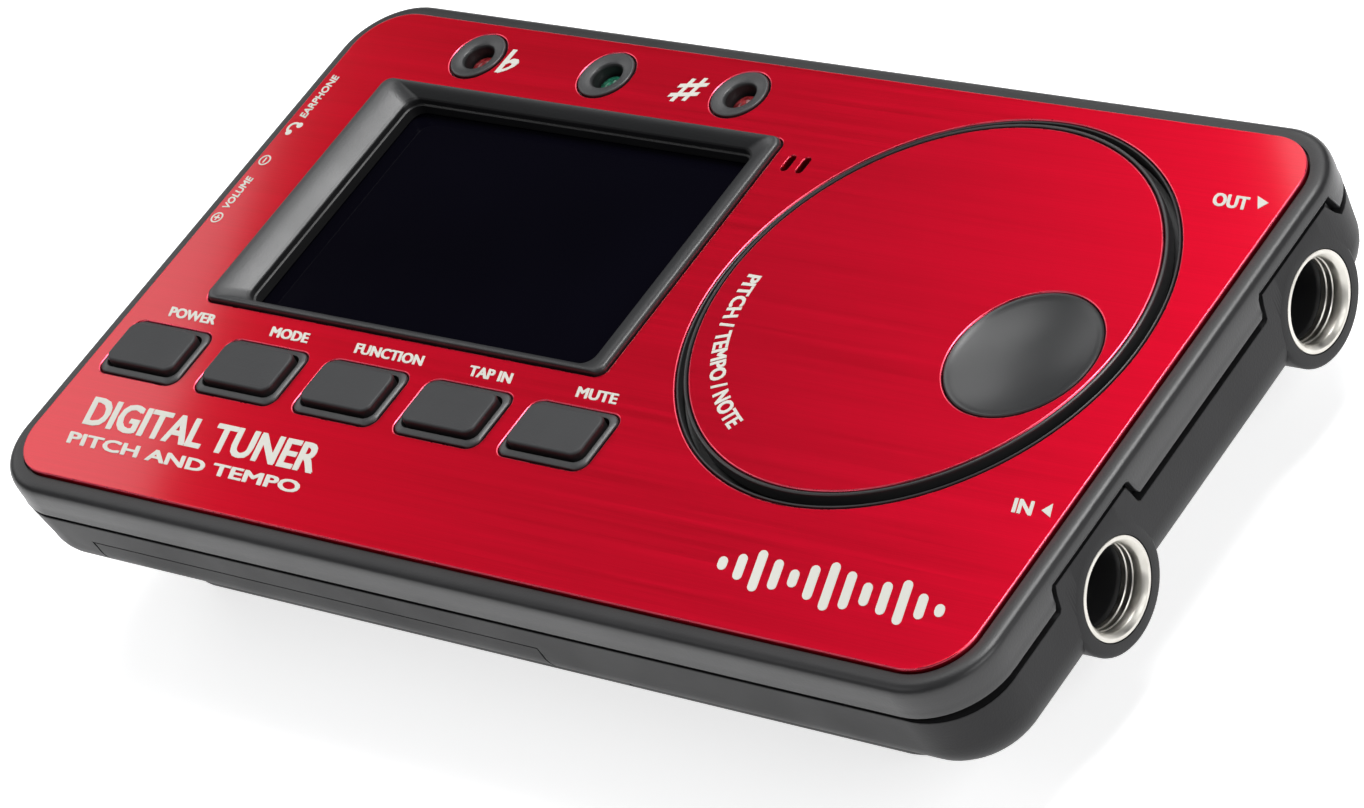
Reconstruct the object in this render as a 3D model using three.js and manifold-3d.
// Pocket tuner and metronome with a jog dial, lying on its back. Millimetres, +Z up.
// Design coordinates: x runs along the length from the faceplate's left edge, y runs from
// its near edge, and z is height above its upper face. The last lines move the whole
// assembly so that its origin is the middle of the footprint, at the resting face.
import * as THREE from 'three';
import { mergeVertices } from 'three/addons/utils/BufferGeometryUtils.js';
import Module from 'manifold-3d';

const wasm = await Module();
wasm.setup();

// ---------------------------------------------------------------- driving dimensions
const PLATE = { length: 103, width: 56.75, thick: 0.6, radius: 4.8 };
const CASE_MARGIN = 1.75;
const CASE_RADIUS = 6.5;
const RIM_TOP = -0.15;
const RIM_FILLET = 0.9;
const DECK_BOTTOM = -2.2;
const FRONT_WALL = 1.7;
const PARTING = -3.55;
const PARTING_GAP = 0.3;
const RIM_BASE = -11;
const BASE_FILLET = 4;
const REAR_WALL = 2.4;
const RIM_FLOOR = -8.2;
const REST = -18.5;
const FIT = 0.15;

const PLATFORM = { x0: 6, x1: 93, y0: 4.3, y1: 52.4, radius: 5, fillet: 2, wall: 1.5 };

const BEZEL = { x0: 7.15, x1: 53.2, y0: 21.1, y1: 48.6, radius: 0.9, top: 0.45 };
const SCREEN = { x0: 10.4, x1: 50.3, y0: 22.55, y1: 47.55, flare: 1.1, step: -1.1 };

const KEY = { count: 5, firstX: 6.55, pitch: 11.72, y: 14.55, width: 8.1, depth: 4.5, gap: 0.15, top: 0.9 };
const KEY_RING = { width: 9.5, depth: 6.05, radius: 1.1, top: 0.2 };
const KEY_TRAVEL = 0.8;

const LED_XS = [14.9, 30.05, 45.2];
const LED_Y = 52.8;
const LED_RING = { outer: 2.65, dish: 2.35, hole: 1.42, top: 0.15, depth: 0.95 };

const DIAL = { x: 78.25, y: 33.65, radius: 20.35, top: 0.5, bottom: -0.95, holeInPlate: 21.25 };
const DIAL_WELL = { radius: 20.95, floor: -1.25, lipOuter: 21.15 };
const INLAY = { radius: 19.95, thick: 0.5 };
const DIMPLE = { x: 12.05, y: -3.1, radius: 6.6, depth: 1.0 };

const MIC = { x: 56.0, y: 46.25, slotGap: 1.6, slotWidth: 0.7, slotLength: 1.8 };

const JACK = { ys: [16.7, 47.3], z: -7.75, bore: 3.25, bushing: 4.1, boss: 5.3, tabTop: -2.0 };
const JACK_TAB_WIDTH = 11;
const JACK_BODY = { x0: 74, x1: 90.4, halfWidth: 4.2, top: -3.4, bottom: -12.4 };

const BOARD = { top: -5.2, bottom: -6.2, x0: 2.5, x1: 100.5, y0: 1.5, y1: 55.2 };

const CELL = { radius: 5.25, length: 44.5, x0: 11.6, ys: [11.4, 22.4], z: -11.6 };
const DOOR = { x0: 8.3, x1: 59.4, y1: 30, lipTop: -6.6, thick: 1.05, gap: 0.2, bottom: REST + 0.1 };

const STAND = { x0: 33.5, x1: 69.5, hingeY: 34.2, hingeZ: -17.45, endY: 51, thick: 1.6, barrel: 0.95 };

const WHEEL = { x: 2.85, y: 33.7, radius: 5.5, z0: -4.95, z1: -2.95 };
const EARPHONE = { y: 45, z: -7.1, bore: 1.8, boss: 3.1 };
const SPEAKER = { x: 81.2, y: 31.6, radius: 10, z0: -16.9, z1: -13.2 };

const CASE_SCREWS = [[4.4, 5.2], [4.4, 52.0], [97.2, 5.6], [97.2, 32.0]];
const BOARD_SCREWS = [[20, 5], [63.5, 5], [63.5, 52.5], [37.6, 53.2]];

// ---------------------------------------------------------------- geometry helpers
const HALF_TURN = Math.PI;
const ROUND = 24;
const LARGE_ROUND = 48;
const SMALL_ROUND = 12;

// A closed three.js geometry as a solid, turned right side out if its faces point in.
function solid(geometry) {
  const bare = geometry.clone();
  bare.deleteAttribute('normal');
  bare.deleteAttribute('uv');
  const merged = mergeVertices(bare, 1e-4);
  const points = merged.getAttribute('position').array;
  const faces = [];
  let volume = 0;
  for (let i = 0; i < merged.index.count; i += 3) {
    const corner = [0, 1, 2].map((k) => merged.index.getX(i + k));
    if (new Set(corner).size < 3) continue;
    const [a, b, c] = corner.map((k) => new THREE.Vector3().fromArray(points, 3 * k));
    volume += a.dot(b.cross(c)) / 6;
    faces.push(corner);
  }
  const triVerts = new Uint32Array(faces.flatMap((f) => (volume < 0 ? [f[0], f[2], f[1]] : f)));
  const vertProperties = new Float32Array(points);
  return new wasm.Manifold(new wasm.Mesh({ numProp: 3, vertProperties, triVerts }));
}

function geometryOf(manifold) {
  const mesh = manifold.getMesh();
  const geometry = new THREE.BufferGeometry();
  geometry.setAttribute('position', new THREE.BufferAttribute(mesh.vertProperties, 3));
  geometry.setIndex(new THREE.BufferAttribute(mesh.triVerts, 1));
  geometry.computeVertexNormals();
  return geometry;
}

function roundedRect(x0, y0, x1, y1, radius) {
  const shape = new THREE.Shape();
  shape.absarc(x1 - radius, y1 - radius, radius, 0, HALF_TURN / 2);
  shape.absarc(x0 + radius, y1 - radius, radius, HALF_TURN / 2, HALF_TURN);
  shape.absarc(x0 + radius, y0 + radius, radius, HALF_TURN, 1.5 * HALF_TURN);
  shape.absarc(x1 - radius, y0 + radius, radius, 1.5 * HALF_TURN, 2 * HALF_TURN);
  return shape;
}

// A rounded rectangle, smaller by inset on every side.
function insetRect(box, radius, inset) {
  const corner = Math.max(radius - inset, 0.3);
  return roundedRect(box.x0 + inset, box.y0 + inset, box.x1 - inset, box.y1 - inset, corner);
}

function slab(shape, z0, z1, curveSegments = 3) {
  const geometry = new THREE.ExtrudeGeometry(shape, { depth: z1 - z0, bevelEnabled: false, curveSegments });
  return solid(geometry.translate(0, 0, z0));
}

// A slab whose upper and lower edges are rounded by the given radius.
function softSlab(shape, z0, z1, radius, bevelSegments, curveSegments = 3) {
  const geometry = new THREE.ExtrudeGeometry(shape, {
    depth: z1 - z0 - 2 * radius,
    bevelEnabled: true,
    bevelThickness: radius,
    bevelSize: radius,
    bevelOffset: -radius,
    bevelSegments,
    curveSegments,
  });
  return solid(geometry.translate(0, 0, z0 + radius));
}

function block(x0, y0, z0, x1, y1, z1) {
  const geometry = new THREE.BoxGeometry(x1 - x0, y1 - y0, z1 - z0);
  return solid(geometry.translate((x0 + x1) / 2, (y0 + y1) / 2, (z0 + z1) / 2));
}

function post(x, y, radius, z0, z1, sides = ROUND, topRadius = radius) {
  const geometry = new THREE.CylinderGeometry(topRadius, radius, z1 - z0, sides).rotateX(HALF_TURN / 2);
  return solid(geometry.translate(x, y, (z0 + z1) / 2));
}

function barAlongX(x0, x1, y, z, radius, sides = ROUND) {
  const geometry = new THREE.CylinderGeometry(radius, radius, x1 - x0, sides).rotateZ(-HALF_TURN / 2);
  return solid(geometry.translate((x0 + x1) / 2, y, z));
}

// A profile of [radius, height] points turned about the z axis.
function turned(profile, sides = ROUND) {
  const points = profile.map(([radius, height]) => new THREE.Vector2(radius, height));
  return solid(new THREE.LatheGeometry(points, sides).rotateX(HALF_TURN / 2));
}

function joined(solids) {
  return solids.reduce((sum, next) => sum.add(next));
}

function cutBy(body, cutters) {
  return cutters.reduce((rest, next) => rest.subtract(next), body);
}

const assembly = new THREE.Group();

function addPart(name, manifold, color, roughness, metalness, position = [0, 0, 0]) {
  const material = new THREE.MeshStandardMaterial({ color, roughness, metalness });
  const mesh = new THREE.Mesh(geometryOf(manifold), material);
  mesh.name = name;
  mesh.position.set(...position);
  assembly.add(mesh);
  return mesh;
}

// ---------------------------------------------------------------- shared outlines
const CASE = {
  x0: -CASE_MARGIN,
  y0: -CASE_MARGIN,
  x1: PLATE.length + CASE_MARGIN,
  y1: PLATE.width + CASE_MARGIN,
};
const PLATE_BOX = { x0: 0, y0: 0, x1: PLATE.length, y1: PLATE.width };
const REAR_TOP = PARTING - PARTING_GAP;
const KEY_XS = Array.from({ length: KEY.count }, (_, i) => KEY.firstX + KEY.pitch * i);

function centredRect(x, y, width, depth, radius) {
  return roundedRect(x - width / 2, y - depth / 2, x + width / 2, y + depth / 2, radius);
}

function micSlots(grow, z0, z1) {
  const width = MIC.slotWidth + 2 * grow;
  const length = MIC.slotLength + 2 * grow;
  return [-0.5, 0.5].map((side) => {
    const x = MIC.x + side * MIC.slotGap;
    return slab(centredRect(x, MIC.y, width, length, width / 2 - 0.01), z0, z1, 1);
  });
}

// ---------------------------------------------------------------- front shell and faceplate
const MOAT = 0.1;
const CASE_POST = 2.4;
const BOARD_POST = 1.8;

function frontCase() {
  const outer = softSlab(insetRect(CASE, CASE_RADIUS, 0), 2 * RIM_BASE, RIM_TOP, RIM_FILLET, 2);
  const shell = outer.intersect(block(-9, -9, PARTING, 115, 70, 5));
  const hollow = slab(insetRect(CASE, CASE_RADIUS, FRONT_WALL), REST, DECK_BOTTOM);
  const rebate = slab(insetRect(CASE, CASE_RADIUS, FRONT_WALL / 2), REST, PARTING + 0.75);
  const recess = slab(insetRect(PLATE_BOX, PLATE.radius, -MOAT), -PLATE.thick - 0.05, 5);
  const jackNotches = JACK.ys.map((y) => jackTab(y, 0.3, PLATE.length - 1));
  const tray = cutBy(shell, [hollow, rebate, recess, ...jackNotches]);

  const raised = [slab(insetRect(BEZEL, BEZEL.radius, 0), DECK_BOTTOM, BEZEL.top, 1)];
  raised.push(post(DIAL.x, DIAL.y, DIAL_WELL.lipOuter, DECK_BOTTOM, 0.03, LARGE_ROUND));
  for (const x of KEY_XS) {
    raised.push(slab(centredRect(x, KEY.y, KEY_RING.width, KEY_RING.depth, KEY_RING.radius), -1, KEY_RING.top, 1));
  }
  for (const x of LED_XS) {
    raised.push(post(x, LED_Y, LED_RING.outer, -1, LED_RING.top, ROUND));
  }
  for (const [x, y] of CASE_SCREWS) {
    raised.push(post(x, y, CASE_POST, -4.9, DECK_BOTTOM + 0.1, SMALL_ROUND));
  }
  for (const [x, y] of BOARD_SCREWS) {
    raised.push(post(x, y, BOARD_POST, BOARD.top + 0.05, DECK_BOTTOM + 0.1, SMALL_ROUND));
  }

  const cuts = [screenOpening(), framePocket(0)];
  cuts.push(post(DIAL.x, DIAL.y, DIAL_WELL.radius, DIAL_WELL.floor, 5, LARGE_ROUND));
  cuts.push(post(DIAL.x, DIAL.y, 4, -5, 5, 24));
  for (const x of KEY_XS) {
    const width = KEY.width + 2 * KEY.gap;
    const depth = KEY.depth + 2 * KEY.gap;
    cuts.push(slab(centredRect(x, KEY.y, width, depth, 1), -5, 5, 1));
  }
  for (const x of LED_XS) {
    cuts.push(post(x, LED_Y, LED_RING.hole, -5, 5, SMALL_ROUND));
    cuts.push(post(x, LED_Y, LED_RING.hole, LED_RING.top - LED_RING.depth, LED_RING.top + 0.01, SMALL_ROUND, LED_RING.dish));
  }
  for (const [x, y] of CASE_SCREWS) {
    cuts.push(post(x, y, 1.06, -6, -2.9, 8));
  }
  for (const [x, y] of BOARD_SCREWS) {
    cuts.push(post(x, y, 0.86, -6, -2.9, 8));
  }
  cuts.push(...micSlots(0, -5, 5), wheelPocket());
  return cutBy(joined([tray, ...raised]), cuts);
}

// The screen opening: straight below, flaring out to the bezel's crown.
function screenOpening() {
  const flareHeight = BEZEL.top + 0.4;
  const shape = insetRect(SCREEN, 1.2, -SCREEN.flare);
  const geometry = new THREE.ExtrudeGeometry(shape, {
    depth: 8,
    bevelEnabled: true,
    bevelThickness: flareHeight,
    bevelSize: -SCREEN.flare,
    bevelSegments: 1,
    curveSegments: 1,
  });
  return solid(geometry.translate(0, 0, BEZEL.top - 8 - flareHeight + 0.001));
}

// The pocket under the deck that the display frame sits in, or the frame itself when shrunk.
function framePocket(shrink) {
  return slab(insetRect(SCREEN, 1.2, shrink - 1.2), DECK_BOTTOM - 1, SCREEN.step - shrink / 2, 1);
}

// The raised tab of the rear shell round a jack, grown by some clearance.
function jackTab(y, grow, x0) {
  const half = JACK_TAB_WIDTH / 2 + grow;
  return block(x0, y - half, RIM_BASE, CASE.x1 + 2, y + half, JACK.tabTop + grow);
}

function wheelPocket() {
  return post(WHEEL.x, WHEEL.y, WHEEL.radius + 0.35, WHEEL.z0 - 0.3, WHEEL.z1 + 0.3, 32);
}

function faceplate() {
  const sheet = slab(insetRect(PLATE_BOX, PLATE.radius, 0), -PLATE.thick, 0);
  const cuts = [slab(insetRect(BEZEL, BEZEL.radius, -MOAT), -5, 5, 1)];
  cuts.push(post(DIAL.x, DIAL.y, DIAL.holeInPlate, -5, 5, LARGE_ROUND));
  for (const x of KEY_XS) {
    const width = KEY_RING.width + 2 * MOAT;
    const depth = KEY_RING.depth + 2 * MOAT;
    cuts.push(slab(centredRect(x, KEY.y, width, depth, KEY_RING.radius), -5, 5, 1));
  }
  for (const x of LED_XS) {
    cuts.push(post(x, LED_Y, LED_RING.outer + MOAT, -5, 5, ROUND));
  }
  return cutBy(sheet, [...cuts, ...micSlots(0.05, -5, 5)]);
}

// ---------------------------------------------------------------- rear shell, door and stand
// The outer form of the rear shell, smaller by skin on every face.
function rearForm(skin) {
  const rimBase = RIM_BASE + skin;
  const rimFillet = BASE_FILLET - skin;
  const rim = softSlab(insetRect(CASE, CASE_RADIUS, 0.12 + skin), rimBase, 8, rimFillet, 3);
  const { radius, fillet } = PLATFORM;
  const foot = softSlab(insetRect(PLATFORM, radius, skin), REST + skin, -5, fillet - skin / 2, 2);
  return rim.add(foot);
}

function rearCase() {
  const outer = rearForm(0).intersect(block(-9, -9, REST - 1, 115, 70, REAR_TOP));
  const doorWell = block(DOOR.x0 - DOOR.gap, -9, REST - 1, DOOR.x1 + DOOR.gap, DOOR.y1 + DOOR.gap, DOOR.lipTop + DOOR.gap);
  const relief = doorWell.subtract(rearForm(DOOR.thick + 0.3));
  const shell = cutBy(outer, [relief, ...rearHollows()]);

  const inside = rearForm(DOOR.thick + 0.3);
  const cellTop = CELL.z + 3;
  const walls = [
    block(7.4, 5, REST, 10.2, 30, cellTop),
    block(57.5, 5, REST, 61, 30, cellTop),
    block(7.4, 28.9, REST, 61, 31.5, cellTop),
  ].map((wall) => wall.intersect(inside));
  const standRoof = block(STAND.x0 - 1.4, STAND.hingeY - 2.9, REST + 0.5, STAND.x1 + 1.4, 52, -14.9);
  const added = [...walls, standRoof.intersect(rearForm(0.5)), tongue()];
  for (const y of JACK.ys) {
    added.push(jackTab(y, 0, CASE.x1 - 1.9).intersect(rearBound()));
    added.push(barAlongX(90.6, CASE.x1 - 0.12, y, JACK.z, JACK.boss));
  }
  added.push(barAlongX(CASE.x0 + 0.12, 1.4, EARPHONE.y, EARPHONE.z, EARPHONE.boss, 16));
  for (const [x, y] of CASE_SCREWS) {
    added.push(post(x, y, CASE_POST, RIM_FLOOR - 0.5, -5.1, SMALL_ROUND));
  }

  const cuts = [
    block(10.2, 5, REST - 1, 57.5, 28.9, -9),
    slab(roundedRect(STAND.x0 - 0.3, STAND.hingeY - 1.6, STAND.x1 + 0.3, STAND.endY + 0.5, 0.4), REST - 1, -16.2, 1),
    barAlongX(STAND.x0 - 1.1, STAND.x1 + 1.1, STAND.hingeY, STAND.hingeZ, 0.75, 8),
    wheelPocket(),
    barAlongX(-4, 1.6, EARPHONE.y, EARPHONE.z, 2.7, 16),
    block(0.7, EARPHONE.y - 3.1, -9.6, 14.3, EARPHONE.y + 3.1, 0),
  ];
  for (const y of JACK.ys) {
    cuts.push(barAlongX(89, CASE.x1 + 2, y, JACK.z, JACK.bushing + FIT));
    cuts.push(block(JACK_BODY.x0 - 0.4, y - JACK_BODY.halfWidth - 0.2, -12.8, JACK_BODY.x1 + 0.1, y + JACK_BODY.halfWidth + 0.2, 0));
  }
  for (const [x, y] of CASE_SCREWS) {
    cuts.push(post(x, y, 1.2, RIM_BASE - 1, 0, 8), post(x, y, 1.9, RIM_BASE - 1, -9.05, SMALL_ROUND));
  }
  cuts.push(...grilleHoles());
  return cutBy(joined([shell, ...added]), cuts);
}

function rearHollows() {
  const rim = softSlab(insetRect(CASE, CASE_RADIUS, REAR_WALL), RIM_FLOOR, 8, 0.6, 1);
  const foot = slab(insetRect(PLATFORM, PLATFORM.radius, PLATFORM.wall), REST + PLATFORM.wall, 0);
  return [rim, foot];
}

function rearBound() {
  return slab(insetRect(CASE, CASE_RADIUS, 0.12), RIM_BASE + BASE_FILLET, 5);
}

// The tongue that stands up inside the front shell's rebate all round.
function tongue() {
  const outline = insetRect(CASE, CASE_RADIUS, FRONT_WALL / 2 + FIT);
  outline.holes.push(insetRect(CASE, CASE_RADIUS, REAR_WALL));
  return slab(outline, REAR_TOP - 0.5, PARTING + 0.45);
}

// Rings of round holes under the loudspeaker.
function grilleHoles() {
  const holes = [post(SPEAKER.x, SPEAKER.y, 0.8, REST - 1, REST + 3, 6)];
  for (const [ring, count] of [[3.2, 6], [6.4, 12]]) {
    for (let i = 0; i < count; i += 1) {
      const angle = (2 * HALF_TURN * i) / count;
      const x = SPEAKER.x + ring * Math.cos(angle);
      const y = SPEAKER.y + ring * Math.sin(angle);
      holes.push(post(x, y, 0.8, REST - 1, REST + 3, 6));
    }
  }
  return holes;
}

function batteryDoor() {
  const zone = block(DOOR.x0, -9, DOOR.bottom, DOOR.x1, DOOR.y1, DOOR.lipTop);
  return rearForm(0).intersect(zone).subtract(rearForm(DOOR.thick));
}

function kickstand() {
  const { x0, x1, hingeY, hingeZ, endY, thick, barrel } = STAND;
  const top = hingeZ + 0.7;
  const leaf = slab(roundedRect(x0, hingeY, x1, endY, 1), top - thick, top, 1);
  const heel = block(x0, hingeY, top - thick, x1, hingeY + 3, top);
  const knuckle = barAlongX(x0, x1, hingeY, hingeZ, barrel, SMALL_ROUND);
  const pins = barAlongX(x0 - 0.9, x1 + 0.9, hingeY, hingeZ, 0.65, 8);
  const fingerNotch = post((x0 + x1) / 2, endY + 2, 4, REST - 1, -10, ROUND);
  return cutBy(joined([leaf, heel, knuckle, pins]), [fingerNotch]);
}

// ---------------------------------------------------------------- dial and its encoder
function dialWheel() {
  const { radius, top, bottom } = DIAL;
  const inlaySeat = top - INLAY.thick - 0.05;
  const disc = turned([
    [0, -2.15], [3.2, -2.15], [3.2, bottom], [radius - 0.2, bottom], [radius, bottom + 0.2],
    [radius, top - 0.15], [radius - 0.15, top], [INLAY.radius + FIT, top],
    [INLAY.radius + FIT, inlaySeat], [0, inlaySeat],
  ], LARGE_ROUND);
  const island = post(DIMPLE.x, DIMPLE.y, DIMPLE.radius, bottom + 0.1, top + 0.05, ROUND);
  const bowlRadius = (DIMPLE.radius ** 2 + DIMPLE.depth ** 2) / (2 * DIMPLE.depth);
  const bowl = new THREE.SphereGeometry(bowlRadius, ROUND, LARGE_ROUND);
  bowl.rotateX(HALF_TURN / 2).translate(DIMPLE.x, DIMPLE.y, top + 0.05 + bowlRadius - DIMPLE.depth);
  const socket = post(0, 0, 1.5 + 0.05, -3, -0.35, 16);
  return cutBy(disc.add(island), [solid(bowl), socket]);
}

function dialInlay() {
  const { top } = DIAL;
  const sheet = post(0, 0, INLAY.radius, top - INLAY.thick, top, LARGE_ROUND);
  return sheet.subtract(post(DIMPLE.x, DIMPLE.y, DIMPLE.radius + FIT, -5, 5, ROUND));
}

function encoderBody() {
  const can = block(-5.75, -5.75, BOARD.top + 0.05, 5.75, 5.75, -2.4);
  return can.subtract(post(0, 0, 1.6, -4.3, 0, 16));
}

// ---------------------------------------------------------------- keys, lights, microphone
function keyCap() {
  const { width, depth, top } = KEY;
  const cap = softSlab(centredRect(0, 0, width, depth, 0.9), -3.2, top, 0.45, 1, 1);
  const flange = slab(centredRect(0, 0, width + 1, depth + 1, 1), -3.3, DECK_BOTTOM - 0.15, 1);
  return cap.add(flange);
}

function keySwitch() {
  const body = block(-2.6, -2.6, BOARD.top + 0.05, 2.6, 2.6, -4.45);
  return body.add(post(0, 0, 1.2, -4.5, -3.3 - KEY_TRAVEL - 0.05, SMALL_ROUND));
}

function led() {
  const foot = BOARD.top + 0.05;
  return turned([[0, foot], [1.6, foot], [1.6, -4.2], [1.3, -4.2], [1.3, -1.7], [0.92, -1.1], [0, -0.85]], SMALL_ROUND);
}

// ---------------------------------------------------------------- display stack
const GLASS = { x0: 9.4, x1: 51.3, y0: 20.6, y1: 48.6 };

function sheetOf(box, radius, z0, z1) {
  return slab(insetRect(box, radius, 0), z0, z1, 1);
}

function displayFrame() {
  const ring = framePocket(0.2).intersect(block(0, 0, DECK_BOTTOM, 90, 60, 0));
  return ring.subtract(slab(insetRect(SCREEN, 1.2, 0.1), -5, 5, 1));
}

// ---------------------------------------------------------------- jacks and volume control
function jackBushing() {
  const { bore, bushing } = JACK;
  const end = CASE.x1 - 0.07;
  const start = JACK_BODY.x1 + 0.2;
  const tube = turned([
    [bore, start], [bushing, start], [bushing, end - 0.1], [bushing - 0.1, end],
    [bushing - 0.25, end], [bore, end - 0.9], [bore, start],
  ]);
  return tube.rotate([0, 90, 0]);
}

function jackBody() {
  const { x0, x1, halfWidth, top, bottom } = JACK_BODY;
  const box = block(x0, -halfWidth, bottom, x1, halfWidth, top);
  const bore = barAlongX(x0 + 1.5, x1 + 1, 0, JACK.z, JACK.bore);
  const springSlot = block(x0 + 3, -1.2, JACK.z + 2.4, x1 - 3, 1.2, top + 1);
  return cutBy(box, [bore, springSlot]);
}

function jackSpring() {
  const leaf = block(JACK_BODY.x0 + 3.3, -0.9, JACK.z + 2.9, JACK_BODY.x1 - 3.3, 0.9, JACK.z + 3.3);
  const bump = block(JACK_BODY.x0 + 4, -0.9, JACK.z + 2.5, JACK_BODY.x0 + 6, 0.9, JACK.z + 3.3);
  return leaf.add(bump);
}

function volumeWheel() {
  const { radius, z0, z1 } = WHEEL;
  const rim = turned([[0, z0], [radius - 0.25, z0], [radius, z0 + 0.25], [radius, z1 - 0.25], [radius - 0.25, z1], [0, z1]]);
  return rim.subtract(post(0, 0, 1.45, z0 - 1, z1 - 0.4, SMALL_ROUND));
}

// ---------------------------------------------------------------- power
function cell() {
  const { radius, length } = CELL;
  const profile = [
    [0, 0], [radius - 0.3, 0], [radius, 0.3], [radius, length - 1.3],
    [radius - 0.3, length - 1], [1.9, length - 1], [1.9, length], [0, length],
  ];
  return turned(profile, ROUND).rotate([0, 90, 0]);
}

// A flat contact on a compartment end wall, with a coil spring drawn as its closed cone.
function contact(x, side, ys, spring) {
  const y0 = Math.min(...ys) - 3.5;
  const y1 = Math.max(...ys) + 3.5;
  const inner = x + side * 0.4;
  const plate = block(Math.min(x, inner), y0, CELL.z - 3.5, Math.max(x, inner), y1, CELL.z + 3.5);
  if (spring === null) return plate;
  const cone = turned([[0, 0], [3, 0], [2, 0.65], [0, 0.65]], SMALL_ROUND).rotate([0, side * 90, 0]);
  return plate.add(cone.translate([inner - side * 0.01, spring, CELL.z]));
}

// ---------------------------------------------------------------- board and what it carries
function mainBoard() {
  const outline = roundedRect(BOARD.x0, BOARD.y0, BOARD.x1, BOARD.y1, 2);
  const board = slab(outline, BOARD.bottom, BOARD.top, 1);
  const cuts = CASE_SCREWS.map(([x, y]) => post(x, y, CASE_POST + 0.4, -9, 0, SMALL_ROUND));
  for (const y of JACK.ys) {
    cuts.push(block(JACK_BODY.x0 - 0.6, y - 6, -9, 110, y + 6, 0));
  }
  cuts.push(block(JACK_BODY.x0 - 0.6, JACK.ys[1], -9, 110, 60, 0));
  cuts.push(post(WHEEL.x, WHEEL.y, 1.8, -9, 0, SMALL_ROUND));
  cuts.push(block(-5, EARPHONE.y - 3.2, -9, 14.4, EARPHONE.y + 3.2, 0));
  for (const [x, y] of BOARD_SCREWS) {
    cuts.push(post(x, y, 0.95, -9, 0, 8));
  }
  return cutBy(board, cuts);
}

// A cheese-head screw, head down, with its tip up.
function screw(headRadius, headBottom, headTop, shankRadius, tip) {
  return turned([
    [0, headBottom], [headRadius, headBottom], [headRadius, headTop],
    [shankRadius, headTop], [shankRadius, tip - 0.4], [0.3, tip], [0, tip],
  ], SMALL_ROUND);
}

// ---------------------------------------------------------------- assembly
const CHARCOAL = 0x3c3d3f;
const BLACK = 0x161719;
const RED = 0xc8102e;
const NICKEL = 0xc9c6bf;
const STEEL = 0xb7b9bb;

addPart('front_case', frontCase(), CHARCOAL, 0.5, 0);
addPart('faceplate', faceplate(), RED, 0.3, 0.9);
addPart('rear_case', rearCase(), CHARCOAL, 0.5, 0);
addPart('battery_door', batteryDoor(), CHARCOAL, 0.5, 0);
addPart('kickstand', kickstand(), CHARCOAL, 0.5, 0);

addPart('display_frame', displayFrame(), BLACK, 0.4, 0);
addPart('display_window', sheetOf({ x0: 8.9, x1: 51.8, y0: 21.2, y1: 48.9 }, 0.5, -2.85, -2.3), 0x0b0c12, 0.08, 0);
addPart('display_panel', sheetOf(GLASS, 0.4, -4.2, -2.95), 0x20252a, 0.2, 0);
addPart('display_backlight', sheetOf({ ...GLASS, y0: 22.8 }, 0.4, -4.95, -4.3), 0xe6e8e4, 0.5, 0);
addPart('display_connector', block(12, 21.0, BOARD.top + 0.05, 48.7, 22.4, -4.25), 0xd09a9a, 0.7, 0);

const dialPlace = [DIAL.x, DIAL.y, 0];
addPart('dial_wheel', dialWheel(), CHARCOAL, 0.45, 0, dialPlace);
addPart('dial_inlay', dialInlay(), RED, 0.3, 0.9, dialPlace);
addPart('encoder_body', encoderBody(), 0x2f3133, 0.5, 0, dialPlace);
addPart('encoder_shaft', turned([[0, -4.2], [1.5, -4.2], [1.5, -0.4], [0, -0.4]], 16), STEEL, 0.3, 1, dialPlace);

const KEY_NAMES = ['power', 'mode', 'function', 'tap', 'mute'];
KEY_XS.forEach((x, i) => {
  addPart(`${KEY_NAMES[i]}_key`, keyCap(), 0x2e3032, 0.7, 0, [x, KEY.y, 0]);
  addPart(`${KEY_NAMES[i]}_switch`, keySwitch(), STEEL, 0.4, 0.8, [x, KEY.y, 0]);
});

const LED_NAMES = ['flat_led', 'in_tune_led', 'sharp_led'];
const LED_COLORS = [0x7a1a1e, 0x0f5a40, 0x7a1a1e];
LED_XS.forEach((x, i) => addPart(LED_NAMES[i], led(), LED_COLORS[i], 0.2, 0, [x, LED_Y, 0]));

addPart('microphone', post(0, 0, 2, BOARD.top + 0.05, -3.4, 16), STEEL, 0.3, 0.9, [MIC.x, MIC.y, 0]);

['input', 'output'].forEach((name, i) => {
  addPart(`${name}_jack_bushing`, jackBushing(), NICKEL, 0.2, 1, [0, JACK.ys[i], JACK.z]);
  addPart(`${name}_jack_body`, jackBody(), BLACK, 0.5, 0, [0, JACK.ys[i], 0]);
  addPart(`${name}_jack_spring`, jackSpring(), STEEL, 0.3, 1, [0, JACK.ys[i], 0]);
});

const earphoneBody = block(1.2, -2.8, EARPHONE.z - 2.2, 14, 2.8, EARPHONE.z + 2.05);
const earphoneBore = barAlongX(0, 13, 0, EARPHONE.z, EARPHONE.bore, 16);
addPart('earphone_jack_body', earphoneBody.subtract(earphoneBore), BLACK, 0.5, 0, [0, EARPHONE.y, 0]);
const sleeve = turned([[1.8, 0], [2.5, 0], [2.5, 2.5], [1.8, 2.5], [1.8, 0]], 16).rotate([0, 90, 0]);
addPart('earphone_jack_sleeve', sleeve, NICKEL, 0.2, 1, [CASE.x0 + 0.2, EARPHONE.y, EARPHONE.z]);

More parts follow.
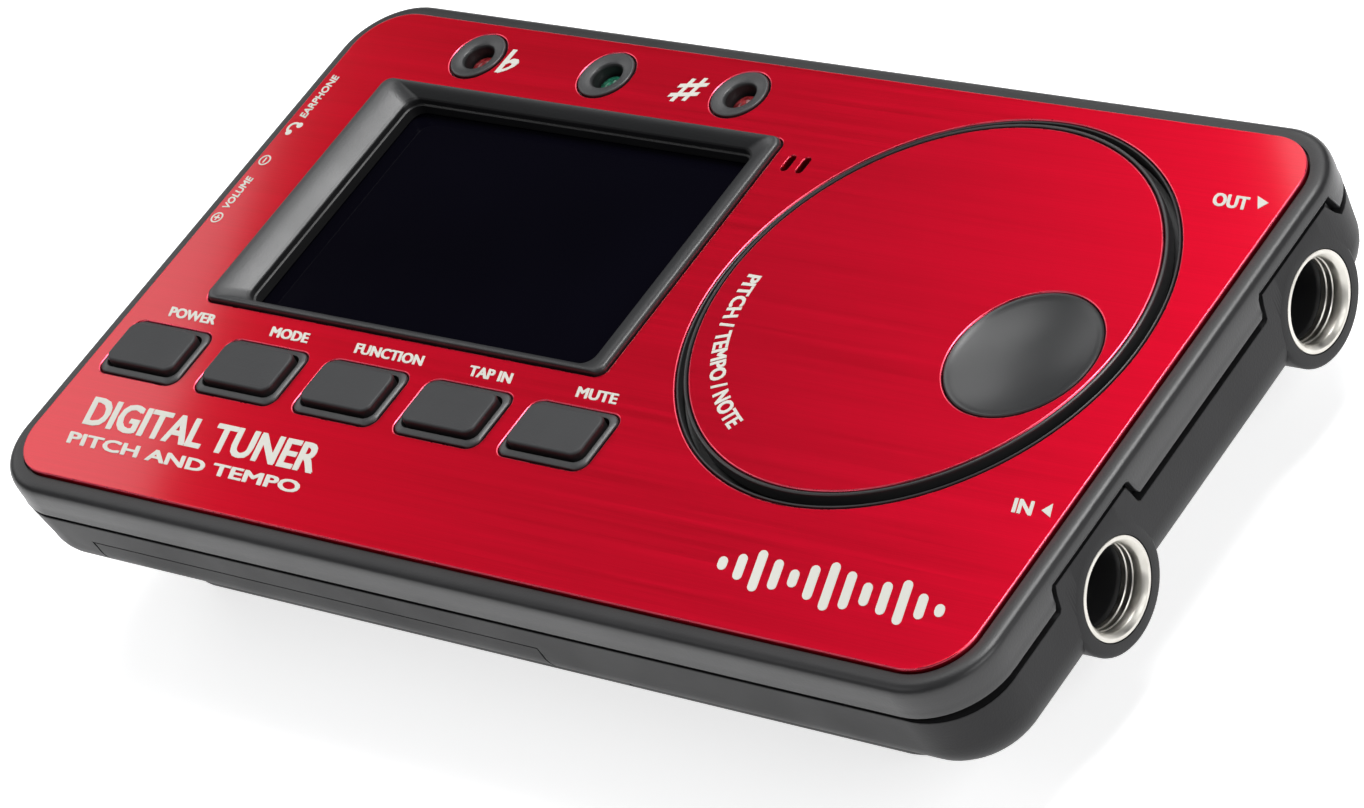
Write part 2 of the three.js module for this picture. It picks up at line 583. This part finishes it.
const wheelPlace = [WHEEL.x, WHEEL.y, 0];
addPart('volume_wheel', volumeWheel(), 0x2a2b2d, 0.6, 0, wheelPlace);
addPart('volume_shaft', post(0, 0, 1.4, -7.4, WHEEL.z1 - 0.5, SMALL_ROUND), STEEL, 0.3, 1, wheelPlace);
const potBody = block(-1.8, -3.8, -7.9, 5.2, 3.8, BOARD.bottom - 0.1);
addPart('volume_body', potBody.subtract(post(0, 0, 1.5, -7.6, 0, SMALL_ROUND)), 0x2f3133, 0.5, 0, wheelPlace);

const cellEnd = CELL.x0 + CELL.length;
addPart('battery_1', cell(), 0x3a6ea8, 0.35, 0.5, [CELL.x0, CELL.ys[0], CELL.z]);
const turnedCell = addPart('battery_2', cell(), 0x3a6ea8, 0.35, 0.5, [cellEnd, CELL.ys[1], CELL.z]);
turnedCell.rotation.z = HALF_TURN;
addPart('battery_bridge_contact', contact(10.3, 1, CELL.ys, CELL.ys[0]), STEEL, 0.3, 1);
addPart('battery_positive_contact', contact(57.4, -1, [CELL.ys[0]], null), STEEL, 0.3, 1);
addPart('battery_negative_contact', contact(57.4, -1, [CELL.ys[1]], CELL.ys[1]), STEEL, 0.3, 1);

addPart('main_board', mainBoard(), 0x1d5b34, 0.5, 0);
addPart('processor_chip', block(61, 24, -7.5, 71, 34, BOARD.bottom - 0.05), BLACK, 0.5, 0);
addPart('amplifier_chip', block(64, 38, -7.6, 69, 42, BOARD.bottom - 0.05), BLACK, 0.5, 0);
addPart('power_capacitor', post(66, 46, 2.5, -11.5, BOARD.bottom - 0.05, 16), 0x27324f, 0.4, 0);

const speakerProfile = [
  [0, 0], [9, 0], [9, 0.4], [10, 0.4], [10, 1.6], [6.5, 2.2], [6.5, 3.7], [0, 3.7],
];
addPart('speaker', turned(speakerProfile, ROUND), 0x303236, 0.5, 0.3, [SPEAKER.x, SPEAKER.y, SPEAKER.z0]);

CASE_SCREWS.forEach(([x, y], i) => {
  addPart(`case_screw_${i + 1}`, screw(1.75, -10.35, -9.15, 1.0, -3.1), STEEL, 0.3, 1, [x, y, 0]);
});
BOARD_SCREWS.forEach(([x, y], i) => {
  addPart(`board_screw_${i + 1}`, screw(1.6, -7.2, BOARD.bottom - 0.05, 0.8, -3.1), STEEL, 0.3, 1, [x, y, 0]);
});

const wheelReach = WHEEL.x - WHEEL.radius;
assembly.position.set(-(wheelReach + CASE.x1) / 2, -(CASE.y0 + CASE.y1) / 2, -REST);

export default assembly;
